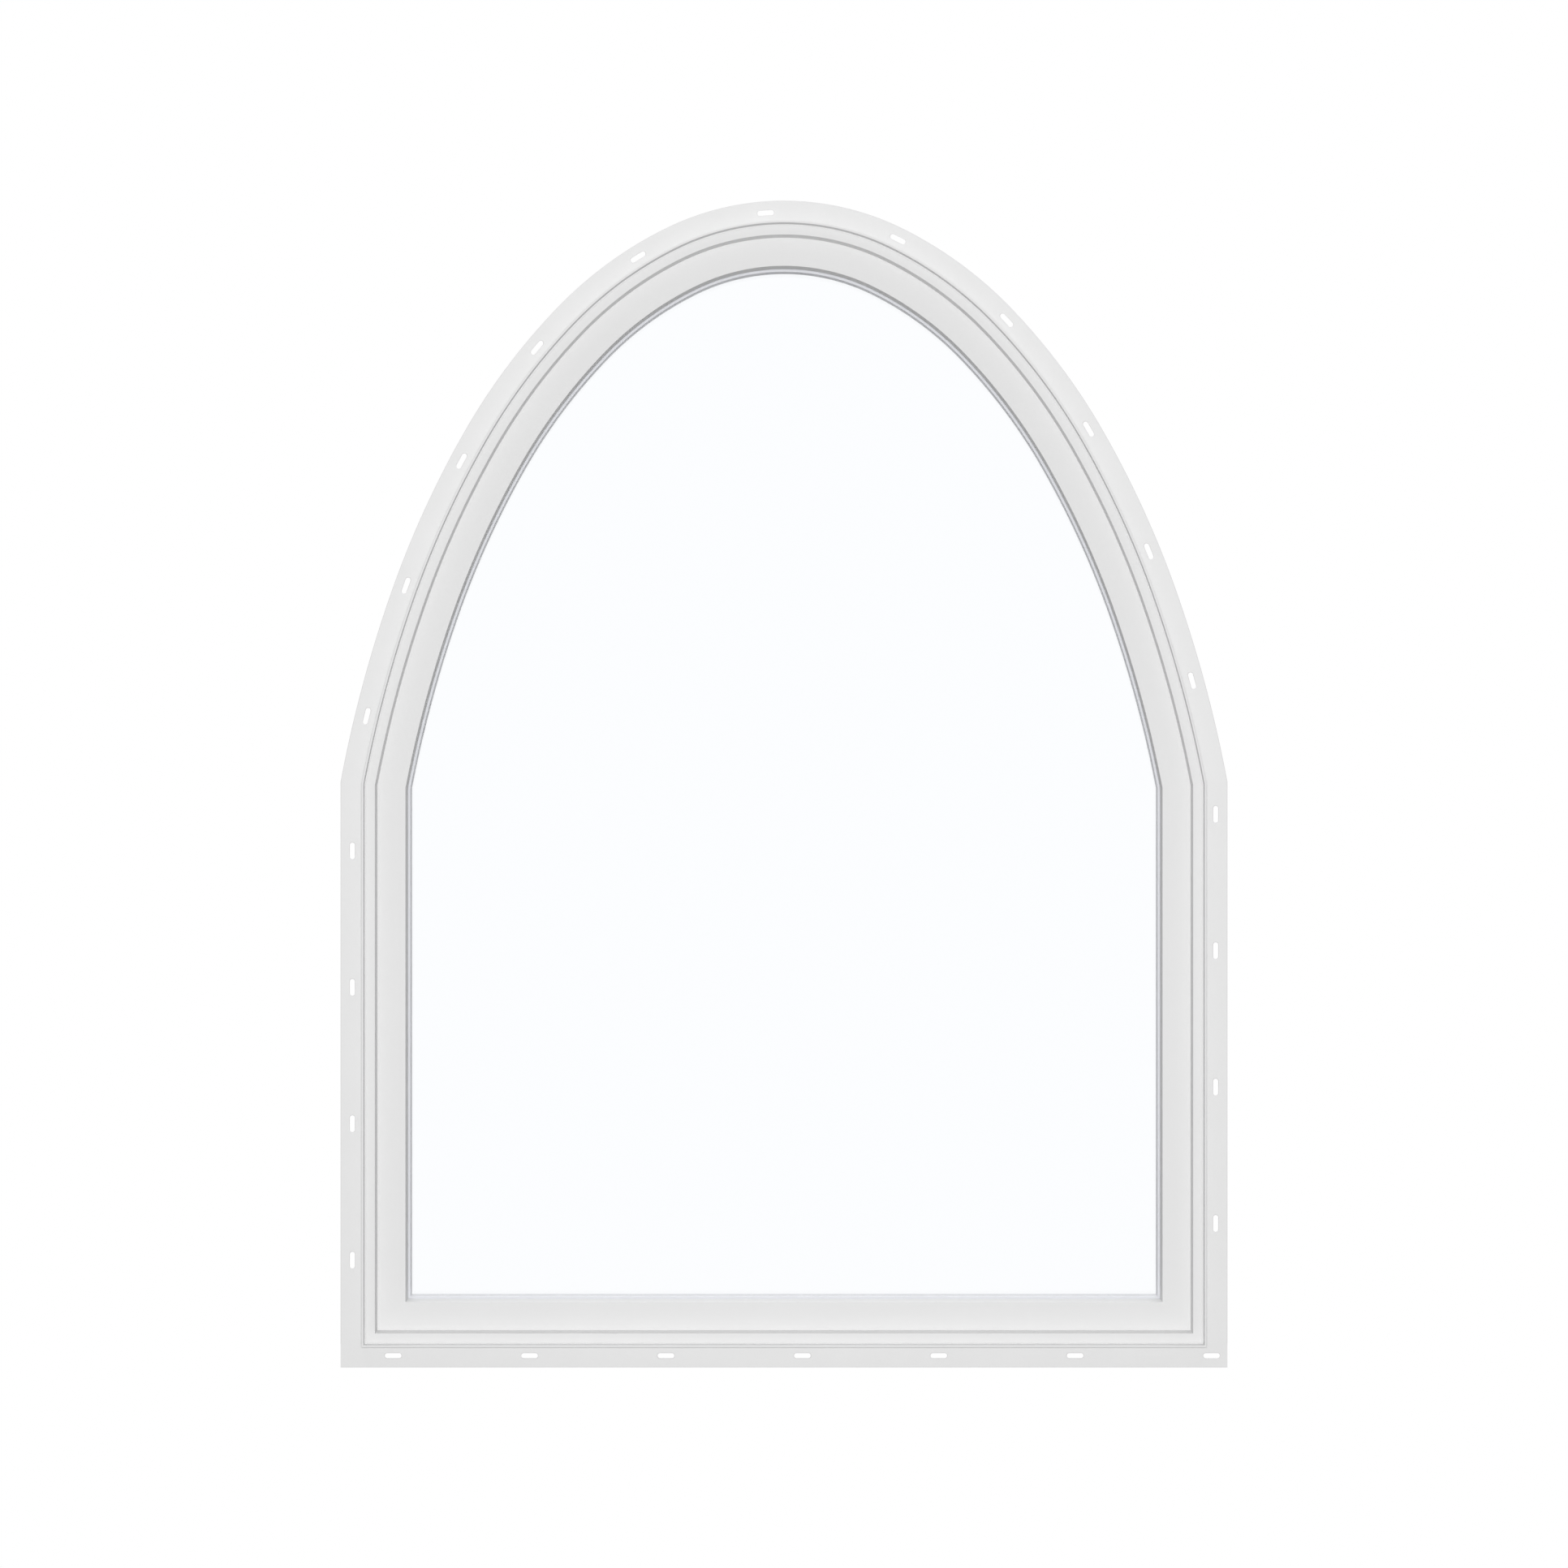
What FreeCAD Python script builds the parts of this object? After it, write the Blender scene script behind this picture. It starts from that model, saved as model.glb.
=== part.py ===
import FreeCAD, Part
import math
import os

from FreeCAD import Rotation, Vector

# Arched top fixed window: mitred hollow frame and sash, kerfed nailing fin, sealed glass unit and beads.
# Millimetres. +X is right and +Z up as seen from outdoors, +Y runs into the room.
# The origin is on the rear face of the nailing fin, on the nail line of the sill, at mid-width.

# Frame outline, on the outer edge of the frame
FRAME_WIDTH = 914.4
LEG_HEIGHT = 609.6
ARCH_RISE = 609.6
ELLIPSE_DROP = 320.0
ARCS_PER_HALF = 5

# Frame section
FRAME_FACE = 13.3
FRAME_WALL = 2.0
RIM_WIDTH = 2.0
RIM_HEIGHT = 12.7
GUTTER_WIDTH = 2.0
GUTTER_DROP = 1.0
STOP_DEPTH = 3.9
STOP_CLEARANCE = 1.1

# Nailing fin and its kerf
FIN_WIDTH = 25.4
FIN_THICKNESS = 1.6
FIN_SETBACK = 25.4
TONGUE_LENGTH = 6.0
TONGUE_STEP = 0.3
KERF_CLEARANCE = 0.5
SLOT_COUNT = 26
SLOT_WIDTH = 6.35
SLOT_LENGTH = 19.05
FIRST_SLOT = 4.5

# Sash section
SASH_SETBACK = 34.0
SASH_GAP = 0.3
SASH_FACE = 30.7
SASH_WALL = 2.0
SASH_EDGE_WIDTH = 3.0
SASH_EDGE_DROP = 0.6
GLAZING_LEG = 25.4

# Sealed glass unit and its bedding
PANE_THICKNESS = 3.0
AIRSPACE = 13.0
GLASS_BITE = 12.7
EDGE_CLEARANCE = 3.2
SPACER_SHOW = 2.2
SPACER_HEIGHT = 10.0
TAPE_THICKNESS = 1.6
TAPE_WIDTH = 9.5
TAPE_INSET = 0.6
BLOCK_LENGTH = 100.0
BLOCK_SPREAD = 420.0

# Glazing bead
BEAD_SEAT = 5.0
BEAD_SHOW = 2.2
BEAD_NOSE = 4.0
BEAD_DEPTH = 8.4
BEAD_FOOT_START = 1.3
BEAD_FOOT_WIDTH = 1.6
BEAD_FOOT_LENGTH = 2.0
BEAD_FOOT_CLEARANCE = 0.15

# Lines across the section, measured inwards from the frame's outer edge
SASH_EDGE = FRAME_FACE + SASH_GAP
SIGHTLINE = SASH_EDGE + SASH_FACE
PANE_EDGE = SIGHTLINE - GLASS_BITE
POCKET_FLOOR = PANE_EDGE - EDGE_CLEARANCE
STOP_EDGE = POCKET_FLOOR - STOP_CLEARANCE
SPACER_LINE = SIGHTLINE + SPACER_SHOW
BEAD_LINE = SIGHTLINE + BEAD_SHOW

# Planes through the section, measured back from the front of the frame's rim
FIN_FRONT = FIN_SETBACK - FIN_THICKNESS
TONGUE_BACK = FIN_SETBACK - TONGUE_STEP
LEG_BACK = SASH_SETBACK + GLAZING_LEG
GLASS_FRONT = LEG_BACK + TAPE_THICKNESS
GLASS_BACK = GLASS_FRONT + 2 * PANE_THICKNESS + AIRSPACE
SASH_BACK = GLASS_BACK + BEAD_SEAT
FRAME_DEPTH = SASH_BACK + STOP_DEPTH

# Places in the window's own frame
SILL_Z = FIN_WIDTH / 2
SPRING_Z = SILL_Z + LEG_HEIGHT
HALF_WIDTH = FRAME_WIDTH / 2
MITRE_OVERRUN = 2 * (FIN_WIDTH + BEAD_LINE)
BEYOND = 3 * (FRAME_WIDTH + LEG_HEIGHT + ARCH_RISE)
INWARD_Y = Vector(0, 1, 0)


def in_plane(x, z, depth=FIN_SETBACK):
    """Point at x and z, at a depth behind the front of the frame's rim."""
    return Vector(x, depth - FIN_SETBACK, z)


def right_half_arcs():
    """Tangent arcs from crown to right spring, through points of the ellipse at even parameter steps.

    Each arc is (centre x, centre z, radius, first normal, last normal), normals in radians from +Z to +X.
    """
    tall = ARCH_RISE + ELLIPSE_DROP
    wide = HALF_WIDTH / math.sqrt(1 - (ELLIPSE_DROP / tall) ** 2)
    last_step = math.acos(ELLIPSE_DROP / tall)
    arcs = []
    x, z, normal = 0.0, SPRING_Z + ARCH_RISE, 0.0
    for index in range(1, ARCS_PER_HALF + 1):
        step = last_step * index / ARCS_PER_HALF
        next_x = wide * math.sin(step)
        next_z = SPRING_Z - ELLIPSE_DROP + tall * math.cos(step)
        chord_slope = math.atan2(z - next_z, next_x - x)
        next_normal = 2 * chord_slope - normal
        radius = math.hypot(next_x - x, next_z - z) / (2 * math.sin((next_normal - normal) / 2))
        centre_x = x - radius * math.sin(normal)
        centre_z = z - radius * math.cos(normal)
        arcs.append((centre_x, centre_z, radius, normal, next_normal))
        x, z, normal = next_x, next_z, next_normal
    return arcs


def whole_arch_arcs():
    """Arcs from the left spring over the crown to the right spring."""
    crown, *haunches = right_half_arcs()
    centre_x, centre_z, radius, _, normal = crown
    left = [(-cx, cz, r, -last, -first) for cx, cz, r, first, last in reversed(haunches)]
    return left + [(centre_x, centre_z, radius, -normal, normal)] + haunches


ARCH = whole_arch_arcs()
SPRING_NORMAL = ARCH[-1][4]


def on_arc(arc, inset, normal, depth=FIN_SETBACK):
    """Point of an arc's parallel curve at a normal direction."""
    centre_x, centre_z, radius = arc[:3]
    reach = radius - inset
    return in_plane(centre_x + reach * math.sin(normal), centre_z + reach * math.cos(normal), depth)


def outline(inset, depth=FIN_SETBACK):
    """Closed wire parallel to the frame's outer edge: sill leftwards, left jamb, arch, right jamb."""
    half = HALF_WIDTH - inset
    low = SILL_Z + inset
    centre_x, centre_z, radius = ARCH[-1][:3]
    kink_normal = math.asin((half - centre_x) / (radius - inset))
    kink = centre_z + (radius - inset) * math.cos(kink_normal)
    corners = [(half, kink), (half, low), (-half, low), (-half, kink)]
    points = [in_plane(x, z, depth) for x, z in corners]
    edges = [Part.makeLine(points[1], points[2]), Part.makeLine(points[2], points[3])]
    for arc in ARCH:
        first = -kink_normal if arc is ARCH[0] else arc[3]
        last = kink_normal if arc is ARCH[-1] else arc[4]
        through = [on_arc(arc, inset, n, depth) for n in (first, (first + last) / 2, last)]
        edges.append(Part.Arc(*through).toShape())
    edges.append(Part.makeLine(points[0], points[1]))
    return Part.Wire(edges)


def section_face(section, place):
    """Face of a section: an outer outline and its chambers, set in space by place(inset, depth)."""
    wires = []
    for points in section:
        corners = [place(inset, depth) for inset, depth in points]
        wires.append(Part.makePolygon(corners + corners[:1]))
    return Part.makeFace(wires, "Part::FaceMakerBullseye")


def straight_run(section, start, end, inward):
    """Section drawn out from start to end, both on the frame's outer edge; inward points to the glass."""
    face = section_face(section, lambda inset, depth: start + inward * inset + in_plane(0, 0, depth))
    return face.extrude(end - start)


def arch_run(section):
    """Section turned about each arc's centre, past both springs, as one solid."""
    solids = []
    for arc in ARCH:
        centre_x, centre_z, radius, first, last = arc
        overrun = MITRE_OVERRUN / radius
        first -= overrun if arc is ARCH[0] else 0.0
        last += overrun if arc is ARCH[-1] else 0.0
        face = section_face(section, lambda inset, depth: on_arc(arc, inset, first, depth))
        turned = face.revolve(in_plane(centre_x, centre_z), INWARD_Y, math.degrees(last - first))
        solids.append(turned)
    return solids[0].multiFuse(solids[1:]).removeSplitter()


def trim(shape, *planes):
    """Shape without what lies beyond each plane, given as a point and the direction to cut away."""
    for point, away in planes:
        block = Part.makeBox(BEYOND, BEYOND, BEYOND, Vector(-BEYOND / 2, -BEYOND / 2, 0))
        block.Placement = FreeCAD.Placement(point, Rotation(Vector(0, 0, 1), away))
        shape = shape.cut(block)
    return shape


def spring_plane(side, up):
    """Mitre plane at a spring, halfway between jamb and arch; cuts away what is above it, or below."""
    tangent = Vector(-side * math.cos(SPRING_NORMAL), 0, math.sin(SPRING_NORMAL))
    away = (tangent + Vector(0, 0, 1)).normalize()
    return in_plane(side * HALF_WIDTH, SPRING_Z), away * (1 if up else -1)


def corner_plane(side, outward):
    """Mitre plane at a lower corner; cuts away what is outside the sill's end, or below the jamb's."""
    away = Vector(side, 0, 1).normalize()
    return in_plane(side * HALF_WIDTH, SILL_Z), away * (1 if outward else -1)


def sill_member(section):
    """Bottom member, mitred at both lower corners."""
    reach = HALF_WIDTH + MITRE_OVERRUN
    run = straight_run(section, in_plane(-reach, SILL_Z), in_plane(reach, SILL_Z), Vector(0, 0, 1))
    return trim(run, corner_plane(-1, True), corner_plane(1, True))


def jamb_member(section, side):
    """Upright member at side -1 or 1, mitred at its lower corner and at its spring."""
    low = in_plane(side * HALF_WIDTH, SILL_Z - MITRE_OVERRUN)
    high = in_plane(side * HALF_WIDTH, SPRING_Z + MITRE_OVERRUN)
    run = straight_run(section, low, high, Vector(-side, 0, 0))
    return trim(run, corner_plane(side, False), spring_plane(side, True))


def arch_member(section):
    """Bent head member, mitred at both springs."""
    return trim(arch_run(section), spring_plane(-1, False), spring_plane(1, False))


def four_members(section, sill_name, left_name, right_name, arch_name):
    """The four mitred members of one section, by node name."""
    return {
        sill_name: sill_member(section),
        left_name: jamb_member(section, -1),
        right_name: jamb_member(section, 1),
        arch_name: arch_member(section),
    }


def box_outline(inset_a, inset_b, depth_a, depth_b):
    """Rectangle of a section between two insets and two depths."""
    return [(inset_a, depth_a), (inset_b, depth_a), (inset_b, depth_b), (inset_a, depth_b)]


def frame_section():
    """Hollow frame: rim and gutter before its face, kerf for the fin in its outer wall, stop behind."""
    kerf_end = TONGUE_LENGTH + KERF_CLEARANCE
    outer = [
        (0, 0),
        (RIM_WIDTH, 0),
        (RIM_WIDTH, RIM_HEIGHT + GUTTER_DROP),
        (RIM_WIDTH + GUTTER_WIDTH, RIM_HEIGHT),
        (FRAME_FACE, RIM_HEIGHT),
        (FRAME_FACE, SASH_BACK),
        (STOP_EDGE, SASH_BACK),
        (STOP_EDGE, FRAME_DEPTH),
        (0, FRAME_DEPTH),
        (0, TONGUE_BACK),
        (kerf_end, TONGUE_BACK),
        (kerf_end, FIN_FRONT),
        (0, FIN_FRONT),
    ]
    past_kerf = kerf_end + FRAME_WALL
    inner = FRAME_FACE - FRAME_WALL
    back = FRAME_DEPTH - FRAME_WALL
    front = RIM_HEIGHT + FRAME_WALL
    chamber = [
        (past_kerf, front),
        (inner, front),
        (inner, back),
        (FRAME_WALL, back),
        (FRAME_WALL, TONGUE_BACK + FRAME_WALL),
        (past_kerf, TONGUE_BACK + FRAME_WALL),
    ]
    return [outer, chamber]


def flange_section():
    """Flat part of the fin, outside the frame."""
    return [box_outline(-FIN_WIDTH, 0, FIN_FRONT, FIN_SETBACK)]


def tongue_section():
    """Inner edge of the fin, stepped on its rear face and pressed into the frame's kerf."""
    return [box_outline(0, TONGUE_LENGTH, FIN_FRONT, TONGUE_BACK)]


def sash_section():
    """Hollow sash: softened outer edge, deep glazing leg in front, pocket with a snap groove behind."""
    groove_front = GLASS_BACK + BEAD_FOOT_START - BEAD_FOOT_CLEARANCE
    groove_back = GLASS_BACK + BEAD_FOOT_START + BEAD_FOOT_WIDTH + BEAD_FOOT_CLEARANCE
    groove_end = POCKET_FLOOR - BEAD_FOOT_LENGTH - BEAD_FOOT_CLEARANCE
    outer = [
        (SASH_EDGE, SASH_SETBACK + SASH_EDGE_DROP),
        (SASH_EDGE + SASH_EDGE_WIDTH, SASH_SETBACK),
        (SIGHTLINE, SASH_SETBACK),
        (SIGHTLINE, LEG_BACK),
        (POCKET_FLOOR, LEG_BACK),
        (POCKET_FLOOR, groove_front),
        (groove_end, groove_front),
        (groove_end, groove_back),
        (POCKET_FLOOR, groove_back),
        (POCKET_FLOOR, SASH_BACK),
        (SASH_EDGE, SASH_BACK),
    ]
    front = SASH_SETBACK + SASH_EDGE_DROP + SASH_WALL
    leg = LEG_BACK - SASH_WALL
    side = SASH_EDGE + SASH_WALL
    floor = POCKET_FLOOR - SASH_WALL
    rear = groove_front - SASH_WALL
    chamber = [
        (side, front),
        (SIGHTLINE - SASH_WALL, front),
        (SIGHTLINE - SASH_WALL, leg),
        (floor, leg),
        (floor, rear),
        (side, rear),
    ]
    return [outer, chamber]


def tape_section():
    """Glazing tape between the sash's leg and the outer pane."""
    top = SIGHTLINE - TAPE_INSET
    return [box_outline(top - TAPE_WIDTH, top, LEG_BACK, GLASS_FRONT)]


def bead_section():
    """Sloped glazing bead: foot in the sash's groove, nose on the inner pane."""
    foot_front = GLASS_BACK + BEAD_FOOT_START
    foot_back = foot_front + BEAD_FOOT_WIDTH
    foot_end = POCKET_FLOOR - BEAD_FOOT_LENGTH
    return [[
        (POCKET_FLOOR, GLASS_BACK),
        (BEAD_LINE, GLASS_BACK),
        (BEAD_LINE, GLASS_BACK + BEAD_NOSE),
        (POCKET_FLOOR, GLASS_BACK + BEAD_DEPTH),
        (POCKET_FLOOR, foot_back),
        (foot_end, foot_back),
        (foot_end, foot_front),
        (POCKET_FLOOR, foot_front),
    ]]


def nail_slots():
    """Cutters for the nail slots, at even steps along the middle of the fin."""
    line = outline(-FIN_WIDTH / 2)
    edges = line.OrderedEdges
    pitch = line.Length / SLOT_COUNT
    straight = SLOT_LENGTH - SLOT_WIDTH
    radius = SLOT_WIDTH / 2
    depth = 3 * FIN_THICKNESS
    blank = Part.makeBox(straight, depth, SLOT_WIDTH, Vector(-straight / 2, -depth / 2, -radius))
    for end in (-straight / 2, straight / 2):
        blank = blank.fuse(Part.makeCylinder(radius, depth, Vector(end, -depth / 2, 0), INWARD_Y))
    blank = blank.removeSplitter()
    cutters = []
    for index in range(SLOT_COUNT):
        travelled = FIRST_SLOT + index * pitch
        passed = 0.0
        for edge in edges:
            if travelled <= passed + edge.Length:
                break
            passed += edge.Length
        at = edge.getParameterByLength(travelled - passed)
        centre = edge.valueAt(at) - INWARD_Y * (FIN_THICKNESS / 2)
        cutter = blank.copy()
        cutter.Placement = FreeCAD.Placement(centre, Rotation(Vector(1, 0, 0), edge.tangentAt(at)))
        cutters.append(cutter)
    return cutters


def nailing_fin():
    """Four fin strips: the sill's runs the whole width, the jambs' stand on it, the arch's meets them."""
    reach = HALF_WIDTH + FIN_WIDTH
    flange = flange_section()
    sill_ends = (in_plane(-reach, SILL_Z), in_plane(reach, SILL_Z))
    on_sill = (in_plane(0, SILL_Z), Vector(0, 0, -1))
    strips = four_members(
        tongue_section(), "nail_fin_sill", "nail_fin_left", "nail_fin_right", "nail_fin_arch"
    )
    flanges = {
        "nail_fin_sill": straight_run(flange, *sill_ends, Vector(0, 0, 1)),
        "nail_fin_left": trim(jamb_member(flange, -1), on_sill),
        "nail_fin_right": trim(jamb_member(flange, 1), on_sill),
        "nail_fin_arch": arch_member(flange),
    }
    slots = nail_slots()
    return {name: strips[name].fuse(flanges[name]).removeSplitter().cut(slots) for name in strips}


def plate(inset, front, thickness):
    """Flat sheet parallel to the frame's outline."""
    return Part.Face(outline(inset, front)).extrude(INWARD_Y * thickness)


def ring(outer_inset, inner_inset, front, depth):
    """Closed bar of rectangular section between two parallels of the frame's outline."""
    return plate(outer_inset, front, depth).cut(plate(inner_inset, front, depth))


def glass_unit():
    """Two panes held apart by a spacer bar near their edges."""
    cavity = GLASS_FRONT + PANE_THICKNESS
    return {
        "outer_pane": plate(PANE_EDGE, GLASS_FRONT, PANE_THICKNESS),
        "inner_pane": plate(PANE_EDGE, cavity + AIRSPACE, PANE_THICKNESS),
        "spacer_bar": ring(SPACER_LINE - SPACER_HEIGHT, SPACER_LINE, cavity, AIRSPACE),
    }


def setting_blocks():
    """Two blocks under the glass unit, in the pocket of the bottom rail."""
    depth = GLASS_BACK - GLASS_FRONT
    blocks = {}
    for name, side in (("setting_block_left", -1), ("setting_block_right", 1)):
        corner = in_plane(side * BLOCK_SPREAD / 2 - BLOCK_LENGTH / 2, SILL_Z + POCKET_FLOOR, GLASS_FRONT)
        blocks[name] = Part.makeBox(BLOCK_LENGTH, depth, EDGE_CLEARANCE, corner)
    return blocks


def window():
    """All pieces of the window by node name."""
    pieces = four_members(
        frame_section(), "frame_sill", "frame_left_jamb", "frame_right_jamb", "frame_arch_head"
    )
    pieces.update(nailing_fin())
    pieces.update(
        four_members(
            sash_section(), "sash_bottom_rail", "sash_left_stile", "sash_right_stile", "sash_arch_rail"
        )
    )
    pieces.update(
        four_members(
            tape_section(),
            "glazing_tape_bottom",
            "glazing_tape_left",
            "glazing_tape_right",
            "glazing_tape_arch",
        )
    )
    pieces.update(
        four_members(
            bead_section(),
            "glazing_bead_bottom",
            "glazing_bead_left",
            "glazing_bead_right",
            "glazing_bead_arch",
        )
    )
    pieces.update(glass_unit())
    pieces.update(setting_blocks())
    return pieces


os.makedirs("parts", exist_ok=True)
for node, piece in window().items():
    piece.exportStep(f"parts/{node}.step")
    print(node, "solids", len(piece.Solids), "volume", round(piece.Volume), "valid", piece.isValid())
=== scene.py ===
import logging
import math
from collections.abc import Mapping, Sequence
from dataclasses import dataclass, field
from enum import Enum
from functools import cached_property
from typing import Any, NamedTuple

import bpy
import numpy as np
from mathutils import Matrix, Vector
from numpy.typing import NDArray


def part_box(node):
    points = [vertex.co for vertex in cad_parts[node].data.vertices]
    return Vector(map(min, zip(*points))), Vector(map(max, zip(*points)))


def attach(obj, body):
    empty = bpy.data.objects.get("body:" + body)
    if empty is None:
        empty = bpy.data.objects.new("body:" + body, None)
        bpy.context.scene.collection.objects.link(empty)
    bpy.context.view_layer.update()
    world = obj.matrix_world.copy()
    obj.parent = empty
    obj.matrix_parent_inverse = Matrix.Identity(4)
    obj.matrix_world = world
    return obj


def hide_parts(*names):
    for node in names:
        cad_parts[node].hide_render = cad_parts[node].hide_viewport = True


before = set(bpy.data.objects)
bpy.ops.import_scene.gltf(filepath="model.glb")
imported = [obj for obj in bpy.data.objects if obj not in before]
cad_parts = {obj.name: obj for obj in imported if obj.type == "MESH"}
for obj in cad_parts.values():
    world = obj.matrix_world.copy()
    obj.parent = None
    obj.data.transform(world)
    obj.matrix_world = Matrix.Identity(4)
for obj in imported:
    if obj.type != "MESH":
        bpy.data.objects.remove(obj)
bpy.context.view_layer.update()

# Arched top fixed window: white vinyl frame and sash with a slotted nailing fin and sealed glass.
# Metres. +X is right and +Z up as seen from outdoors, +Y runs into the room.
# An inset is measured from the frame's outer edge towards the glass.

Array = NDArray[np.float64]
Index = NDArray[np.int64]
Triple = tuple[float, float, float]
Names = tuple[str, ...]
MM = 0.001
WHITE = (1.0, 1.0, 1.0, 1.0)
BODY = "root"
INTO_ROOM = np.array([0.0, 1.0, 0.0])
LOG = logging.getLogger("window")

# Sides as tape and beads name them, in the order of the members.
BEDDED_SIDES = ("bottom", "left", "arch", "right")
# Points nearer than this are welded.
WELD = 1e-7
# Distance along a strip beyond both of its ends.
FAR = 100.0
# Inset of the frame's reveal, in which the sash sits.
FRAME_FACE = 13.3 * MM
# Length of the bead's foot, hidden in the sash.
BEAD_FOOT = 2.0 * MM


class Member(Enum):
    """Sides of the window in the order in which its outline runs round."""

    SILL = "sill"
    LEFT = "left"
    ARCH = "arch"
    RIGHT = "right"

    @property
    def side(self) -> int:
        """Sign of x on an upright member."""
        return -1 if self is Member.LEFT else 1


class Arcs(NamedTuple):
    """Tangent arcs of the arch from left to right; normals are the angles at their ends."""

    centres: Array
    radii: Array
    normals: Array


class Course(NamedTuple):
    """Places on the outline: x, z and the angle from straight up towards +X that faces outwards."""

    x: Array
    z: Array
    normal: Array

    def inward(self) -> Array:
        """Unit vectors towards the glass."""
        return np.stack([-np.sin(self.normal), 0 * self.normal, -np.cos(self.normal)], axis=-1)

    def points(self, depth: Array) -> Array:
        """Points in space at these places and at a depth along +Y."""
        return np.stack(np.broadcast_arrays(self.x, depth, self.z), axis=-1)


@dataclass(frozen=True)
class Band:
    """Room that an upright piece takes in the section: two insets and two depths."""

    outer: float
    inner: float
    front: float
    back: float

    @classmethod
    def of(cls, node: str) -> "Band":
        """Band of a node on the left-hand side, measured from the left jamb's outer edge."""
        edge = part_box("frame_left_jamb")[0].x
        low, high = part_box(node)
        return cls(low.x - edge, high.x - edge, low.y, high.y)


@dataclass(frozen=True)
class Outline:
    """Outer edge of the frame: level sill, upright jambs and an arch of tangent arcs on an ellipse."""

    half_width: float = 457.2 * MM
    sill: float = 12.7 * MM
    leg: float = 609.6 * MM
    rise: float = 609.6 * MM
    ellipse_drop: float = 320.0 * MM
    arcs_per_half: int = 5
    arch_stations: int = 193

    @cached_property
    def arcs(self) -> Arcs:
        """Arcs through points of the ellipse at even parameter steps, each tangent to the one before.

        An arc's end normals lie evenly about its chord's normal, so each next normal is twice the chord's
        slope less the last one, and the radius is half the chord over the sine of half the turn.

        Returns:
            The arcs of the whole arch; the crown arc spans both halves.
        """
        tall = self.rise + self.ellipse_drop
        wide = self.half_width / math.sqrt(1 - (self.ellipse_drop / tall) ** 2)
        steps = np.linspace(0, math.acos(self.ellipse_drop / tall), self.arcs_per_half + 1)
        x = wide * np.sin(steps)
        z = self.sill + self.leg - self.ellipse_drop + tall * np.cos(steps)
        slopes = np.arctan2(-np.diff(z), np.diff(x))
        turns = (-1.0) ** np.arange(1, self.arcs_per_half + 1)
        normals = np.concatenate([[0.0], turns * np.cumsum(2 * turns * slopes)])
        radii = np.hypot(np.diff(x), np.diff(z)) / (2 * np.sin(np.diff(normals) / 2))
        centre_x = x[:-1] - radii * np.sin(normals[:-1])
        centre_z = z[:-1] - radii * np.cos(normals[:-1])
        right = np.stack([centre_x, centre_z], axis=-1)
        left = right[:0:-1] * [-1, 1]
        return Arcs(
            np.concatenate([left, right]),
            np.concatenate([radii[:0:-1], radii]),
            np.concatenate([-normals[:0:-1], normals[1:]]),
        )

    def spring_normal(self, inset: Array) -> Array:
        """Normal at which the arch's parallel at an inset meets the upright parallel of the jamb."""
        reach = self.half_width - inset - self.arcs.centres[-1, 0]
        return np.arcsin(reach / (self.arcs.radii[-1] - inset))

    def spring_height(self, inset: Array) -> Array:
        """Height at which the two parallels meet."""
        reach = self.arcs.radii[-1] - inset
        return self.arcs.centres[-1, 1] + reach * np.cos(self.spring_normal(inset))

    def on_arch(self, normal: Array, inset: Array) -> Course:
        """Places on the arch's parallels: arc centre plus (radius less inset) along the normal."""
        normal, inset = np.broadcast_arrays(normal, inset)
        index = np.clip(np.searchsorted(self.arcs.normals, normal) - 1, 0, len(self.arcs.radii) - 1)
        reach = self.arcs.radii[index] - inset
        centre = self.arcs.centres[index]
        x, z = centre[..., 0] + reach * np.sin(normal), centre[..., 1] + reach * np.cos(normal)
        return Course(x, z, normal)

    def upright(self, side: int, height: Array, inset: Array) -> Course:
        """Places on a jamb's parallels, on the left for side -1 and on the right for side 1."""
        height, inset = np.broadcast_arrays(height, inset)
        return Course(side * (self.half_width - inset), height, np.full(height.shape, side * math.pi / 2))

    def along_sill(self, x: Array, inset: Array) -> Course:
        """Places on the sill's parallels."""
        x, inset = np.broadcast_arrays(x, inset)
        return Course(x, self.sill + inset, np.full(x.shape, math.pi))

    def mitred(self, member: Member, share: Array, inset: Array) -> Course:
        """Places along a member between its mitres.

        Args:
            member: side of the window.
            share: distance along it, 0 at its first mitre and 1 at its last.
            inset: which parallel of the outline.

        Returns:
            The places, with both distances broadcast.
        """
        if member is Member.SILL:
            return self.along_sill((self.half_width - inset) * (1 - 2 * share), inset)
        if member is Member.ARCH:
            return self.on_arch((2 * share - 1) * self.spring_normal(inset), inset)
        low = self.sill + inset
        climbed = share if member is Member.LEFT else 1 - share
        return self.upright(member.side, low + (self.spring_height(inset) - low) * climbed, inset)

    def stations(self, member: Member) -> Array:
        """Even shares along a member, as a column: two ends, or many on the bent arch."""
        return np.linspace(0, 1, self.arch_stations if member is Member.ARCH else 2)[:, None]

    def loop(self, inset: Array) -> Course:
        """Places once round the window on each parallel, with no place named twice."""
        courses = [self.mitred(member, self.stations(member)[:-1], inset) for member in Member]
        return Course(*(np.concatenate(part) for part in zip(*courses)))


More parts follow.
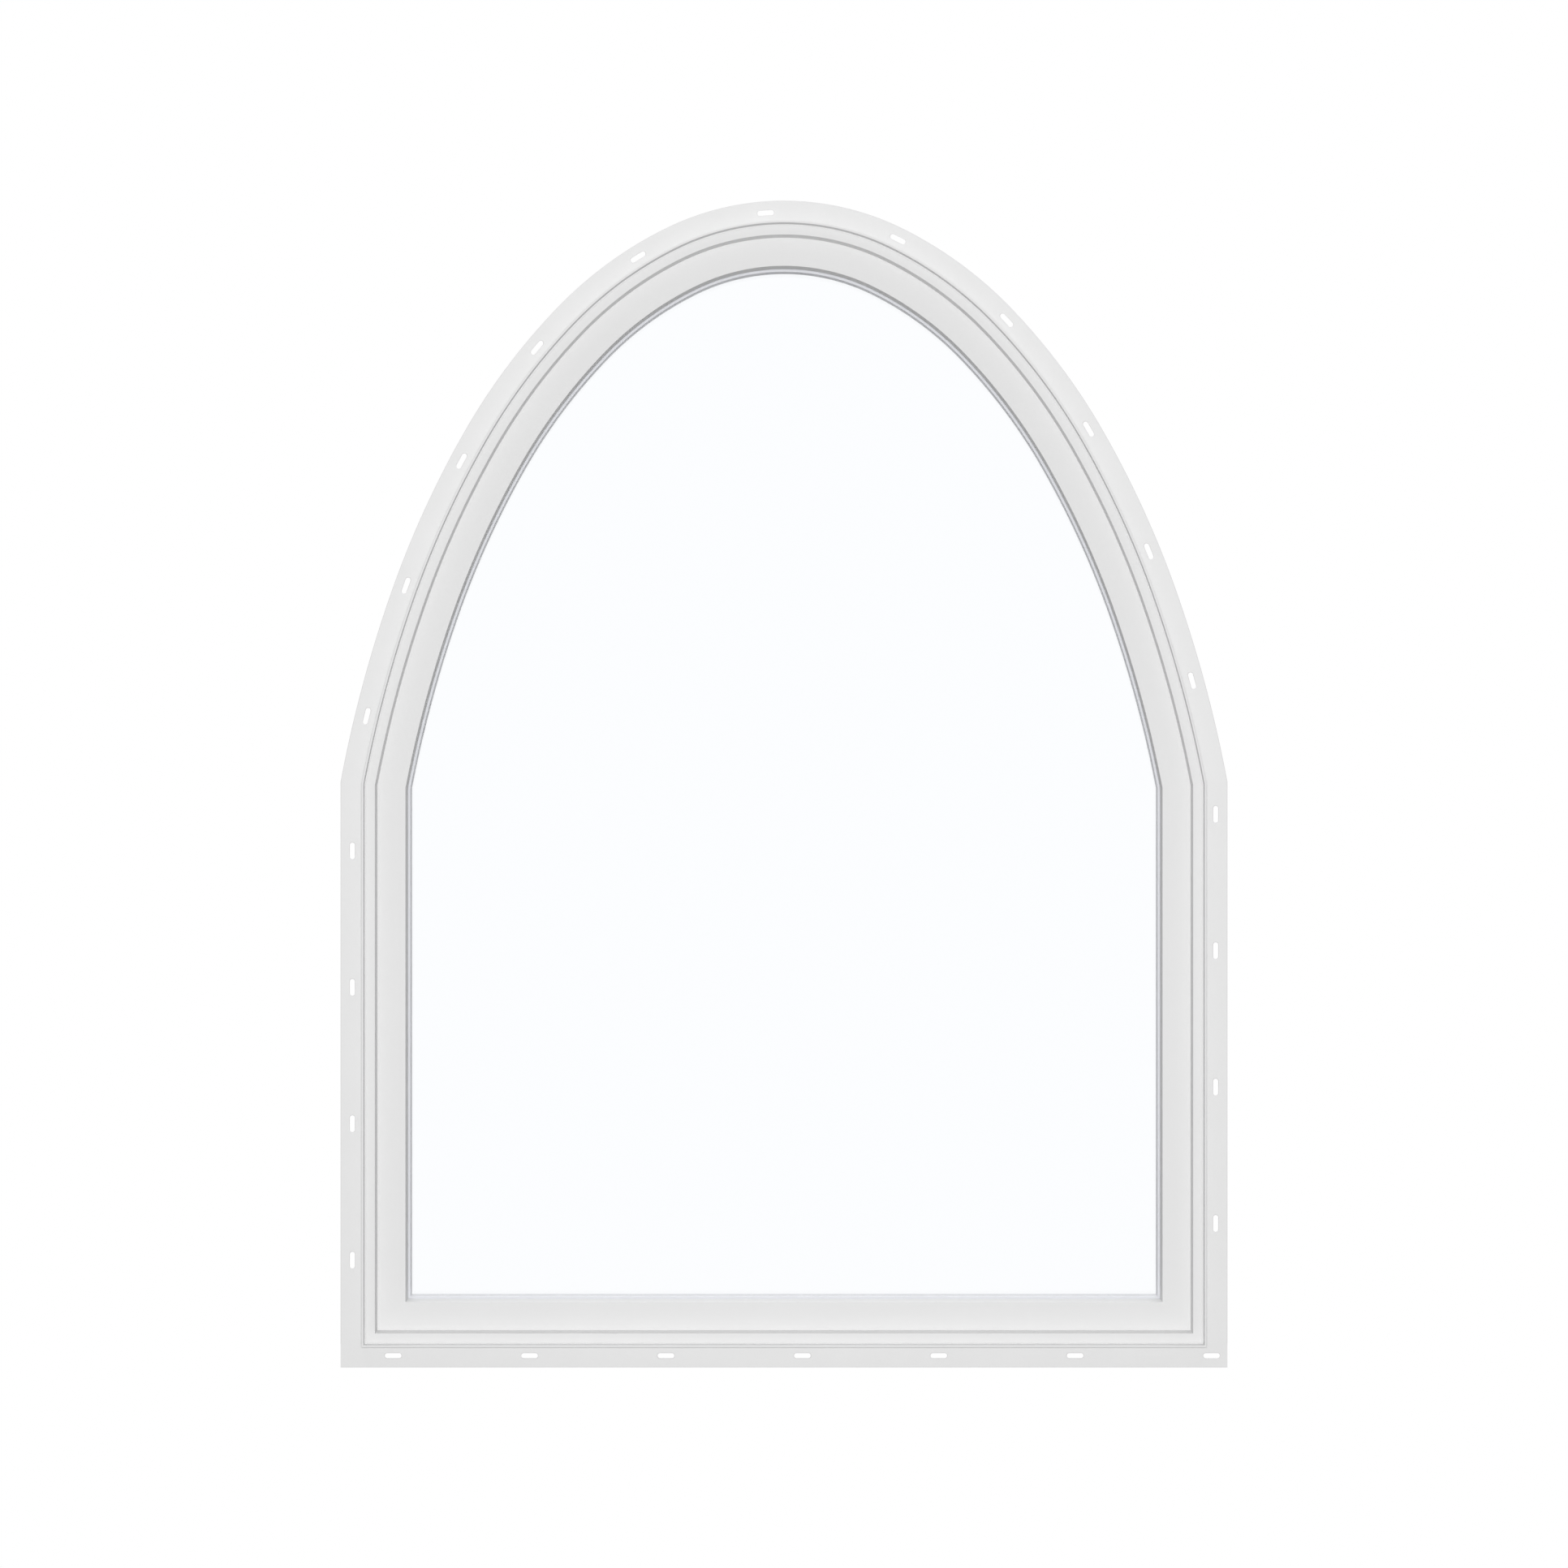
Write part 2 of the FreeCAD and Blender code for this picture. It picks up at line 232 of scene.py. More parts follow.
@dataclass(frozen=True)
class Profile:
    """Closed section, anticlockwise in inset and depth, with the normals at both ends of its edges."""

    points: Array
    leaving: Array
    arriving: Array

    @classmethod
    def rounded(cls, corners: Sequence[tuple[float, float, float]], facets: int = 4) -> "Profile":
        """Section with every corner turned as an arc.

        The arc starts a tangent length, radius times tan of half the turn, before the corner. Its normal
        swings from the edge before to the edge after, and its points follow the normal at the radius.

        Args:
            corners: inset, depth and corner radius, anticlockwise.
            facets: facets of each arc.

        Returns:
            The rounded section.
        """
        table = np.array(corners)
        place, radius = table[:, :2], table[:, 2:]
        after = np.roll(place, -1, axis=0) - place
        after /= np.linalg.norm(after, axis=1, keepdims=True)
        before = np.roll(after, 1, axis=0)
        cross = before[:, 0] * after[:, 1] - before[:, 1] * after[:, 0]
        turn = np.arctan2(cross, (before * after).sum(axis=1))[:, None]
        start = place - before * radius * np.tan(abs(turn) / 2)
        first = before @ [[0, -1], [1, 0]]
        angle = (np.arctan2(first[:, 1:], first[:, :1]) + turn * np.linspace(0, 1, facets + 1))[..., None]
        normals = np.concatenate([np.cos(angle), np.sin(angle)], axis=-1)
        bend = (np.sign(turn) * radius)[:, None]
        points = start[:, None] + bend * (normals - first[:, None])
        normals = normals.reshape(-1, 2)
        return cls(points.reshape(-1, 2), normals, np.roll(normals, -1, axis=0))

    def with_points(self, at: int, points: Array, normal: Sequence[float]) -> "Profile":
        """Same section with more points on one straight edge, put in before an index."""
        spots = [at] * len(points)
        normals = np.broadcast_to(normal, points.shape)
        leaving = np.insert(self.leaving, spots, normals, axis=0)
        arriving = np.roll(leaving, -1, axis=0)
        return Profile(np.insert(self.points, spots, points, axis=0), leaving, arriving)

    def girth(self) -> Array:
        """Distance round the section to each point and back to the first."""
        steps = np.roll(self.points, -1, axis=0) - self.points
        return np.concatenate([[0.0], np.cumsum(np.linalg.norm(steps, axis=1))])


@dataclass
class Shell:
    """Closed surface: points, four-sided faces with corner normals and UVs, and flat end faces."""

    points: Array
    quads: Index
    normals: Array
    uv: Array
    flats: list[Index] = field(default_factory=list)

    @classmethod
    def carried(cls, course: Course, profile: Profile, capped: bool = True) -> "Shell":
        """Section carried along a course, one row of places for each station.

        A point is the course's place at the section point's depth. A normal is the section's normal
        with its inset part turned to the inward direction of the place.

        Args:
            course: places by station and section point.
            profile: section.
            capped: whether the two ends are closed.

        Returns:
            The carried surface.
        """
        points = course.points(profile.points[None, :, 1])
        inward = course.inward().reshape(-1, 3)
        index = numbered(points)
        onward = np.roll(index, -1, axis=1)
        quads = np.stack([index[:-1], onward[:-1], onward[1:], index[1:]], axis=-1)
        turned = np.stack([profile.leaving, profile.arriving, profile.arriving, profile.leaving], axis=1)
        normals = turned[..., :1] * inward[quads] + turned[..., 1:] * INTO_ROOM
        return cls(
            points.reshape(-1, 3),
            quads.reshape(-1, 4),
            normals.reshape(-1, 4, 3),
            cls.unrolled(points, profile).reshape(-1, 4, 2),
            [index[0][::-1], index[-1]] if capped else [],
        )

    @staticmethod
    def unrolled(points: Array, profile: Profile) -> Array:
        """UVs of a carried section: distance along its first edge and distance round it."""
        run = np.linalg.norm(np.diff(points[:, 0], axis=0), axis=1)
        along = np.concatenate([[0.0], np.cumsum(run)])
        girth = profile.girth()
        uv_along = np.stack([along[:-1], along[:-1], along[1:], along[1:]], axis=-1)[:, None]
        uv_round = np.stack([girth[:-1], girth[1:], girth[1:], girth[:-1]], axis=-1)[None]
        return np.stack(np.broadcast_arrays(uv_along, uv_round), axis=-1)

    @classmethod
    def mitred(cls, outline: Outline, member: Member, profile: Profile, capped: bool = True) -> "Shell":
        """Section carried along a member of the outline between its mitres."""
        course = outline.mitred(member, outline.stations(member), profile.points[None, :, 0])
        return cls.carried(course, profile, capped)

    @classmethod
    def ring(cls, outline: Outline, profile: Profile) -> "Shell":
        """Section carried once round the window, its four mitres welded."""
        parts = [cls.mitred(outline, member, profile, capped=False) for member in Member]
        starts = np.cumsum([0] + [len(part.points) for part in parts[:-1]])
        points = np.concatenate([part.points for part in parts])
        quads = np.concatenate([part.quads + start for part, start in zip(parts, starts)])
        rounded = np.round(points / WELD)
        _, first, welded = np.unique(rounded, axis=0, return_index=True, return_inverse=True)
        return cls(
            points[first],
            welded.reshape(-1)[quads],
            np.concatenate([part.normals for part in parts]),
            np.concatenate([part.uv for part in parts]),
        )

    @classmethod
    def sheet(cls, outline: Outline, band: Band, arris: float) -> "Shell":
        """Flat sheet on the outline's parallel with its two sharp edges taken off.

        Four loops round the window are joined in turn: front face, two edges and rear face.

        Args:
            outline: outline that the sheet follows.
            band: room that the sheet takes in the section.
            arris: width of the bevel at its edges.

        Returns:
            The closed sheet.
        """
        insets = band.outer + np.array([arris, 0.0, 0.0, arris])
        depths = np.array([band.front, band.front + arris, band.back - arris, band.back])
        points = outline.loop(insets[None]).points(depths[None])
        index = numbered(points)
        onward = np.roll(index, -1, axis=0)
        corners = [index[:, 1:], index[:, :-1], onward[:, :-1], onward[:, 1:]]
        quads = np.stack(corners, axis=-1).reshape(-1, 4)
        blank = np.zeros((len(quads), 4, 3))
        return cls(points.reshape(-1, 3), quads, blank, blank[..., :2], [index[::-1, 0], index[:, -1]])

    def bridge(self, borders: Sequence[Index], rings: Array, normals: Array) -> None:
        """Joins openings in the front to openings in the back by rings of new points.

        Args:
            borders: point numbers round each front opening and round each rear opening.
            rings: new points by opening, ring and border point.
            normals: normals of the new points.
        """
        front, rear = (border[:, None] for border in borders)
        numbers = np.concatenate([front, len(self.points) + numbered(rings), rear], axis=1)
        quads = between_rings(numbers).reshape(-1, 4)
        flat = np.broadcast_to(INTO_ROOM, normals[:, :1].shape)
        leaning = between_rings(np.concatenate([-flat, normals, flat], axis=1))
        self.points = np.concatenate([self.points, rings.reshape(-1, 3)])
        self.quads = np.concatenate([self.quads, quads])
        self.normals = np.concatenate([self.normals, leaning.reshape(-1, 4, 3)])
        self.uv = np.concatenate([self.uv, np.zeros((len(quads), 4, 2))])

    def mesh(self, name: str) -> bpy.types.Mesh:
        """Mesh of this surface; a corner with no normal of its own keeps its face's."""
        faces = self.quads.tolist() + [flat.tolist() for flat in self.flats]
        spare = sum(len(flat) for flat in self.flats)
        mesh = bpy.data.meshes.new(name)
        mesh.from_pydata(self.points.tolist(), [], faces)
        shaded = bool(self.normals.any())
        smooth = np.repeat([shaded, False], [len(self.quads), len(self.flats)])
        mesh.polygons.foreach_set("use_smooth", smooth)
        layer = mesh.uv_layers.new(name="extrusion")
        layer.data.foreach_set("uv", np.concatenate([self.uv.ravel(), np.zeros(2 * spare)]))
        if shaded:
            normals = np.concatenate([self.normals.reshape(-1, 3), np.zeros((spare, 3))])
            mesh.normals_split_custom_set(normals.tolist())
        mesh.update()
        return mesh


def numbered(points: Array) -> Index:
    """Running numbers in the shape of a grid of points."""
    return np.arange(points.size // 3).reshape(points.shape[:-1])


def between_rings(values: Array) -> Array:
    """Values at the four corners of the faces between each ring and the next."""
    ahead = np.roll(values, -1, axis=2)
    return np.stack([values[:, 1:], ahead[:, 1:], ahead[:, :-1], values[:, :-1]], axis=3)


def grey(level: float) -> Triple:
    """Colour with three like channels."""
    return (level, level, level)


def add_piece(name: str, shell: Shell, finish: "Finish", node: str) -> bpy.types.Object:
    """Puts a surface into the scene in place of a node.

    Args:
        name: name of the new piece.
        shell: its surface, in place.
        finish: its finish.
        node: node that it stands for.

    Returns:
        The new object.
    """
    piece = bpy.data.objects.new(name, shell.mesh(name))
    bpy.context.scene.collection.objects.link(piece)
    piece.data.materials.append(finish.material())
    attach(piece, BODY)
    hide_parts(node)
    return piece


class Signal:
    """Socket of a node tree on which arithmetic adds Math nodes."""

    def __init__(self, board: "Board", socket: bpy.types.NodeSocket) -> None:
        """Wraps one output socket."""
        self.board = board
        self.socket = socket

    def maths(self, operation: str, first: "Signal | float", second: "Signal | float") -> "Signal":
        """Result of a Math node on two values."""
        return self.board.node("ShaderNodeMath", {"operation": operation}, {0: first, 1: second})

    def __add__(self, other: "Signal | float") -> "Signal":
        """Sum."""
        return self.maths("ADD", self, other)

    __radd__ = __add__

    def __mul__(self, other: "Signal | float") -> "Signal":
        """Product."""
        return self.maths("MULTIPLY", self, other)

    __rmul__ = __mul__

    def __pow__(self, other: "Signal | float") -> "Signal":
        """Power."""
        return self.maths("POWER", self, other)

    def __rpow__(self, other: float) -> "Signal":
        """Power of a number."""
        return self.maths("POWER", other, self)


class Board:
    """Node tree of one material or of the world."""

    def __init__(self, owner: bpy.types.Material | bpy.types.World) -> None:
        """Takes over the owner's tree and empties it."""
        owner.use_nodes = True
        self.tree = owner.node_tree
        self.tree.nodes.clear()

    def node(
        self,
        kind: str,
        settings: Mapping[str, Any] | None = None,
        sockets: Mapping[str | int, Any] | None = None,
        output: str | int = 0,
    ) -> Signal:
        """Adds a node.

        Args:
            kind: node type.
            settings: properties, set first.
            sockets: values or signals for its inputs.
            output: output that is handed on.

        Returns:
            The named output, or the first input of a node without outputs.
        """
        made = self.tree.nodes.new(kind)
        for name, value in (settings or {}).items():
            setattr(made, name, value)
        for name, value in (sockets or {}).items():
            if isinstance(value, Signal):
                self.tree.links.new(value.socket, made.inputs[name])
            else:
                made.inputs[name].default_value = value
        return Signal(self, made.outputs[output] if made.outputs else made.inputs[0])

    def noise(self, vector: Signal, scale: float = 1.0, detail: float = 2.0) -> Signal:
        """Noise value from 0 to 1."""
        return self.node("ShaderNodeTexNoise", None, {"Vector": vector, "Scale": scale, "Detail": detail})

    def place(self, source: str) -> Signal:
        """Coordinates by the name of a Texture Coordinate output."""
        return self.node("ShaderNodeTexCoord", output=source)

    def stretched(self, vector: Signal, factors: Sequence[float]) -> Signal:
        """Coordinates multiplied axis by axis."""
        return self.node("ShaderNodeVectorMath", {"operation": "MULTIPLY"}, {0: vector, 1: factors})

    def blend(self, share: Signal, first: Sequence[float], second: Sequence[float]) -> Signal:
        """Colour between two colours."""
        sockets = {"Factor": share, 6: (*first, 1.0), 7: (*second, 1.0)}
        return self.node("ShaderNodeMix", {"data_type": "RGBA"}, sockets, 2)

    def bump(self, height: Signal, strength: float, distance: float) -> Signal:
        """Normal tilted by a height."""
        sockets = {"Height": height, "Strength": strength, "Distance": distance}
        return self.node("ShaderNodeBump", None, sockets)

    def finish(self, shader: Signal, output: str = "ShaderNodeOutputMaterial") -> None:
        """Links a shader to the tree's output."""
        self.node(output, None, {"Surface": shader})


@dataclass(frozen=True)
class Finish:
    """Finish of a material slot."""

    slot: str

    def material(self) -> bpy.types.Material:
        """The finish's material, made at its first use."""
        name = f"{self.slot}_finish"
        made = bpy.data.materials.get(name)
        if made is None:
            made = bpy.data.materials.new(name)
            self.dress(Board(made))
        return made

    def dress(self, board: Board) -> None:
        """Builds the finish's nodes."""
        raise NotImplementedError


@dataclass(frozen=True)
class Polymer(Finish):
    """Matt polymer whose colour lies between two shades."""

    pale: Triple
    deep: Triple
    roughness: float = 0.68
    roughness_swing: float = 0.1
    bump_strength: float = 0.05
    bump_distance: float = 0.1 * MM
    specular: float = 0.03

    def coat(self, board: Board, shade: Signal, dulling: Signal, height: Signal) -> None:
        """Builds the shader.

        Args:
            board: node tree of the material.
            shade: 0 for the deep shade and 1 for the pale one.
            dulling: share of the swing in the roughness.
            height: height that tilts the normal.
        """
        sockets = {
            "Base Color": board.blend(shade, self.deep, self.pale),
            "Roughness": self.roughness + self.roughness_swing * dulling,
            "Normal": board.bump(height, self.bump_strength, self.bump_distance),
            "Specular IOR Level": self.specular,
        }
        board.finish(board.node("ShaderNodeBsdfPrincipled", None, sockets))


@dataclass(frozen=True)
class ExtrudedVinyl(Polymer):
    """White vinyl with long faint streaks and fine die lines along the extrusion."""

    roughness_swing: float = 0.12
    streak_scale: Triple = (1.3, 210.0, 1.0)
    streak_detail: float = 3.0
    streak_share: float = 0.5
    die_line_scale: Triple = (2.0, 2600.0, 1.0)
    mottle_scale: float = 17.0
    mottle_detail: float = 4.0
    mottle_height: float = 0.6

    def dress(self, board: Board) -> None:
        """Colour and roughness follow streaks and mottling; die lines tilt the normal."""
        length = board.place("UV")
        streak = board.noise(board.stretched(length, self.streak_scale), detail=self.streak_detail)
        mottle = board.noise(board.place("Object"), self.mottle_scale, self.mottle_detail)
        lines = board.noise(board.stretched(length, self.die_line_scale))
        shade = self.streak_share * streak + (1 - self.streak_share) * mottle
        self.coat(board, shade, streak, lines + self.mottle_height * mottle)


@dataclass(frozen=True)
class FinVinyl(Polymer):
    """Thin white vinyl strip with cloudy shades and a fine calendered grain."""

    bump_strength: float = 0.04
    mottle_scale: float = 23.0
    mottle_detail: float = 4.0
    grain_scale: float = 900.0

    def dress(self, board: Board) -> None:
        """Colour and roughness follow the clouds; the grain tilts the normal."""
        place = board.place("Object")
        mottle = board.noise(place, self.mottle_scale, self.mottle_detail)
        self.coat(board, mottle, mottle, board.noise(place, self.grain_scale))


@dataclass(frozen=True)
class CellularPolymer(Polymer):
    """Matt foam or rubber with fine pores and wider clouds."""

    roughness: float = 0.75
    roughness_swing: float = 0.15
    bump_strength: float = 0.25
    pore_scale: float = 700.0
    pore_detail: float = 3.0
    pore_share: float = 0.6
    pores_per_cloud: float = 20.0

    def dress(self, board: Board) -> None:
        """Pores darken the colour and dent the surface."""
        place = board.place("Object")
        pores = board.noise(place, self.pore_scale, self.pore_detail)
        cloud = board.noise(place, self.pore_scale / self.pores_per_cloud)
        shade = self.pore_share * pores + (1 - self.pore_share) * cloud
        self.coat(board, shade, pores, pores)


@dataclass(frozen=True)
class FloatGlass(Finish):
    """Clear float glass: a faint cool tint and a reflection that grows towards grazing sight."""

    tint: Triple = (0.993, 0.996, 1.0)
    straight_gloss: float = 0.028
    gloss_power: float = 5.0
    roughness: float = 0.004
    roughness_swing: float = 0.01
    wave_scale: float = 2.2
    wave_detail: float = 1.0
    wave_strength: float = 0.1
    wave_height: float = 1.0 * MM

    def dress(self, board: Board) -> None:
        """Tinted see-through shader mixed with a gloss; long waves tilt the gloss.

        The share of gloss is its straight-on share, plus the rest times a power of one less the
        cosine of the angle of sight, the same from both sides of a face.
        """
        wave = board.noise(board.place("Object"), self.wave_scale, self.wave_detail)
        sockets = {
            "Color": WHITE,
            "Roughness": self.roughness + self.roughness_swing * wave,
            "Normal": board.bump(wave, self.wave_strength, self.wave_height),
        }
        gloss = board.node("ShaderNodeBsdfGlossy", None, sockets)
        clear = board.node("ShaderNodeBsdfTransparent", None, {"Color": (*self.tint, 1.0)})
        slant = board.node("ShaderNodeLayerWeight", output="Facing")
        share = self.straight_gloss + (1 - self.straight_gloss) * slant**self.gloss_power
        board.finish(board.node("ShaderNodeMixShader", None, {0: share, 1: clear, 2: gloss}))


WHITE_VINYL = ExtrudedVinyl("white_vinyl", grey(0.775), grey(0.75))
FIN_VINYL = FinVinyl("fin_vinyl", grey(0.80), grey(0.775))
CLEAR_GLASS = FloatGlass("clear_glass")
SPACER_FOAM = CellularPolymer("spacer_foam", (0.82, 0.82, 0.84), (0.78, 0.78, 0.80))
GLAZING_TAPE = CellularPolymer("glazing_tape", grey(0.78), grey(0.70))
BLOCK_RUBBER = CellularPolymer("block_rubber", grey(0.09), grey(0.06), pore_scale=400.0)


@dataclass(frozen=True)
class MitredSet:
    """Four mitred lengths of one section; their nodes are named in the order of the members."""

    outline: Outline
    nodes: Names = ()
    finish: Finish = WHITE_VINYL

    def profile(self) -> Profile:
        """Section of the set."""
        raise NotImplementedError

    def build(self) -> list[bpy.types.Object]:
        """Sweeps the section along each member and dresses it."""
        profile = self.profile()
        return [
            add_piece(f"{node}_skin", Shell.mitred(self.outline, member, profile), self.finish, node)
            for member, node in zip(Member, self.nodes)
        ]


@dataclass(frozen=True)
class VinylSet(MitredSet):
    """Lengths of extruded vinyl whose edges have a soft or a crisp radius."""

    soft: float = 0.7 * MM
    crisp: float = 0.25 * MM


@dataclass(frozen=True)
class MainFrame(VinylSet):
    """Outer frame: a thin rim, a gutter at its foot, a narrow face and a stop for the sash behind."""

    nodes: Names = ("frame_sill", "frame_left_jamb", "frame_arch_head", "frame_right_jamb")
    band: Band = Band.of("frame_left_jamb")
    sash: Band = Band.of("sash_left_stile")
    rim_width: float = 2.0 * MM
    rim_height: float = 12.7 * MM
    gutter_width: float = 2.0 * MM
    gutter_drop: float = 1.0 * MM

    def profile(self) -> Profile:
        """Rim, gutter, face, reveal down to the stop, flat rear and outer wall."""
        front, back = self.band.front, self.band.back
        face_depth = front + self.rim_height
        corners = [
            (0, front, self.crisp),
            (self.rim_width, front, self.crisp),
            (self.rim_width, face_depth + self.gutter_drop, self.crisp),
            (self.rim_width + self.gutter_width, face_depth, self.soft),
            (FRAME_FACE, face_depth, self.soft),
            (FRAME_FACE, self.sash.back, self.crisp),
            (self.band.inner, self.sash.back, self.crisp),
            (self.band.inner, back, self.soft),
            (0, back, self.soft),
        ]
        return Profile.rounded(corners)


@dataclass(frozen=True)
class Sash(VinylSet):
    """Fixed sash: a broad flat face with a softened outer edge and a deep leg in front of the glass."""

    nodes: Names = ("sash_bottom_rail", "sash_left_stile", "sash_arch_rail", "sash_right_stile")
    band: Band = Band.of("sash_left_stile")
    tape: Band = Band.of("glazing_tape_left")
    bead: Band = Band.of("glazing_bead_left")
    bedding: float = 0.05 * MM
    edge_width: float = 3.0 * MM
    edge_drop: float = 0.6 * MM

    def profile(self) -> Profile:
        """Softened edge, flat face, leg, open pocket and rear."""
        floor = self.bead.outer + BEAD_FOOT
        outer = FRAME_FACE + self.bedding
        corners = [
            (outer, self.band.front + self.edge_drop, self.crisp),
            (outer + self.edge_width, self.band.front, self.soft),
            (self.band.inner, self.band.front, self.soft),
            (self.band.inner, self.tape.front, self.crisp),
            (floor, self.tape.front, self.crisp),
            (floor, self.band.back, self.crisp),
            (outer, self.band.back, self.crisp),
        ]
        return Profile.rounded(corners)


@dataclass(frozen=True)
class GlazingTape(MitredSet):
    """Foam tape between the sash's leg and the outer pane, its edges bulged by the clamping."""

    nodes: Names = tuple(f"glazing_tape_{side}" for side in BEDDED_SIDES)
    finish: Finish = GLAZING_TAPE
    band: Band = Band.of("glazing_tape_left")
    bulge: float = 0.45

    def profile(self) -> Profile:
        """Flat strip whose edges are rounded by a share of its thickness."""
        band = self.band
        edge = self.bulge * (band.back - band.front)
        corners = [
            (band.outer, band.front, edge),
            (band.inner, band.front, edge),
            (band.inner, band.back, edge),
            (band.outer, band.back, edge),
        ]
        return Profile.rounded(corners)


@dataclass(frozen=True)
class Beads(VinylSet):
    """Sloped beads that hold the glass from the room side."""

    nodes: Names = tuple(f"glazing_bead_{side}" for side in BEDDED_SIDES)
    soft: float = 1.1 * MM
    crisp: float = 0.15 * MM
    band: Band = Band.of("glazing_bead_left")
    nose: float = 4.0 * MM

    def profile(self) -> Profile:
        """Flat against the glass, a low nose and a long slope up to the sash."""
        band = self.band
        heel = band.outer + BEAD_FOOT
        corners = [
            (heel, band.front, self.crisp),
            (band.inner, band.front, self.crisp),
            (band.inner, band.front + self.nose, self.soft),
            (heel, band.back, self.soft),
        ]
        return Profile.rounded(corners)


@dataclass(frozen=True)
class NailFin:
    """Thin flange all round the frame with slotted nail holes at even steps along its middle line."""

    outline: Outline
    nodes: Names = ("nail_fin_sill", "nail_fin_left", "nail_fin_arch", "nail_fin_right")
    band: Band = Band.of("nail_fin_left")
    edge_radius: float = 0.7 * MM
    lip_radius: float = 0.78 * MM
    joint_radius: float = 0.02 * MM
    slot_count: int = 26
    slot_width: float = 6.35 * MM
    slot_length: float = 19.05 * MM
    first_slot: float = 4.5 * MM
    cell_margin: float = 3.5 * MM
    end_facets: int = 4
    side_facets: int = 2
    row_facets: int = 6
    lip_facets: int = 2
    corner_facets: int = 3
    arch_facets: int = 150

    @property
    def width(self) -> float:
        """Width of the flange outside the frame."""
        return -self.band.outer

    @property
    def middle(self) -> float:
        """Inset of the flange's middle line, on which the slots lie."""
        return -self.width / 2

    @property
    def spine(self) -> float:
        """Half the distance between the centres of a slot's round ends."""
        return (self.slot_length - self.slot_width) / 2

    @property
    def corner_points(self) -> int:
        """Points at a corner of the section: its front follows one corner and its rear three."""
        return self.corner_facets + 1

    @cached_property
    def arch_table(self) -> tuple[Array, Array]:
        """Lengths along the middle line of the arch from its left spring, and the normals there."""
        spring = float(self.outline.spring_normal(np.array(self.middle)))
        reach = self.outline.arcs.radii - self.middle
        between = self.outline.arcs.normals[1:-1]
        normals = np.concatenate([[-math.pi / 2, -spring], between, [spring, math.pi / 2]])
        steps = np.diff(normals) * np.concatenate([reach[:1], reach, reach[-1:]])
        lengths = np.concatenate([[0.0], np.cumsum(steps)])
        return lengths - lengths[1], normals

    @cached_property
    def lengths(self) -> dict[Member, float]:
        """Length of the middle line on each member."""
        upright = float(self.outline.spring_height(np.array(self.middle))) - self.low
        arch = float(self.arch_table[0][-2])
        sill = 2 * (self.outline.half_width - self.middle)
        return {Member.SILL: sill, Member.LEFT: upright, Member.ARCH: arch, Member.RIGHT: upright}

    @property
    def low(self) -> float:
        """Height of the middle line along the sill."""
        return self.outline.sill + self.middle

    def slots_on(self, member: Member) -> Array:
        """Distances of a member's slots along the middle line from the member's start."""
        order = list(Member)
        start = sum(self.lengths[other] for other in order[: order.index(member)])
        pitch = sum(self.lengths.values()) / self.slot_count
        places = self.first_slot + np.arange(self.slot_count) * pitch - start
        return places[(places > 0) & (places < self.lengths[member])]

    def course(self, member: Member, along: Array, inset: Array) -> Course:
        """Places on a strip, kept between the strip's two ends.

        Args:
            member: side of the window.
            along: distance on the middle line from the member's start.
            inset: which parallel of the outline.

        Returns:
            The places, with both distances broadcast.
        """
        outline = self.outline
        if member is Member.SILL:
            end = outline.half_width + self.width
            return outline.along_sill(np.clip(outline.half_width - self.middle - along, -end, end), inset)
        if member is Member.ARCH:
            spring = outline.spring_normal(inset)
            return outline.on_arch(np.clip(np.interp(along, *self.arch_table), -spring, spring), inset)
        climbed = along if member is Member.LEFT else self.lengths[member] - along
        height = np.clip(self.low + climbed, outline.sill, outline.spring_height(inset))
        return outline.upright(member.side, height, inset)

    def cell(self) -> tuple[Array, Array]:
        """Distances along and across a slot's cell, the rectangle of the flange that holds one slot."""
        half_length = self.slot_length / 2 + self.cell_margin
        half_width = self.slot_width / 2 + self.cell_margin
        end = np.linspace(self.spine, half_length, self.end_facets + 1)
        side = np.linspace(-self.spine, self.spine, self.side_facets + 1)[1:-1]
        stations = np.concatenate([-end[::-1], side, end])
        return stations, np.linspace(-half_width, half_width, self.row_facets + 1)

    def border(self) -> tuple[Index, Index]:
        """Station numbers and row numbers of the points once round a cell."""
        last, top = 2 * self.end_facets + self.side_facets, self.row_facets
        run, climb = np.arange(last), np.arange(top)
        stations = np.concatenate([run, np.full(top, last), last - run, np.zeros(top, int)])
        rows = np.concatenate([np.zeros(last, int), climb, np.full(last, top), top - climb])
        return stations, rows

    def profile(self, rows: Array) -> Profile:
        """Thin strip with its rows of cell points on the front and on the back."""
        front, back = self.band.front, self.band.back
        corners = [
            (-self.width, front, self.edge_radius),
            (0, front, self.joint_radius),
            (0, back, self.joint_radius),
            (-self.width, back, self.edge_radius),
        ]
        plain = Profile.rounded(corners, self.corner_facets)
        places = np.stack([self.middle + rows, np.full(rows.shape, back)], axis=-1)
        rear = plain.with_points(3 * self.corner_points, places[::-1], (0, 1))
        return rear.with_points(self.corner_points, places * [1, 0] + [0, front], (0, -1))

    def station_line(self, member: Member, cells: Array) -> Array:
        """Stations along a strip: both ends, those of the cells and, on the arch, even steps between."""
        facets = self.arch_facets if member is Member.ARCH else 1
        spread = np.linspace(0, self.lengths[member], facets + 1)[1:-1]
        reach = (cells[0, -1] - cells[0, 0]) / 2 + self.cell_margin
        clear = abs(spread[:, None] - cells.mean(axis=1)).min(axis=1) > reach
        return np.sort(np.concatenate([[-FAR], spread[clear], cells.ravel(), [FAR]]))

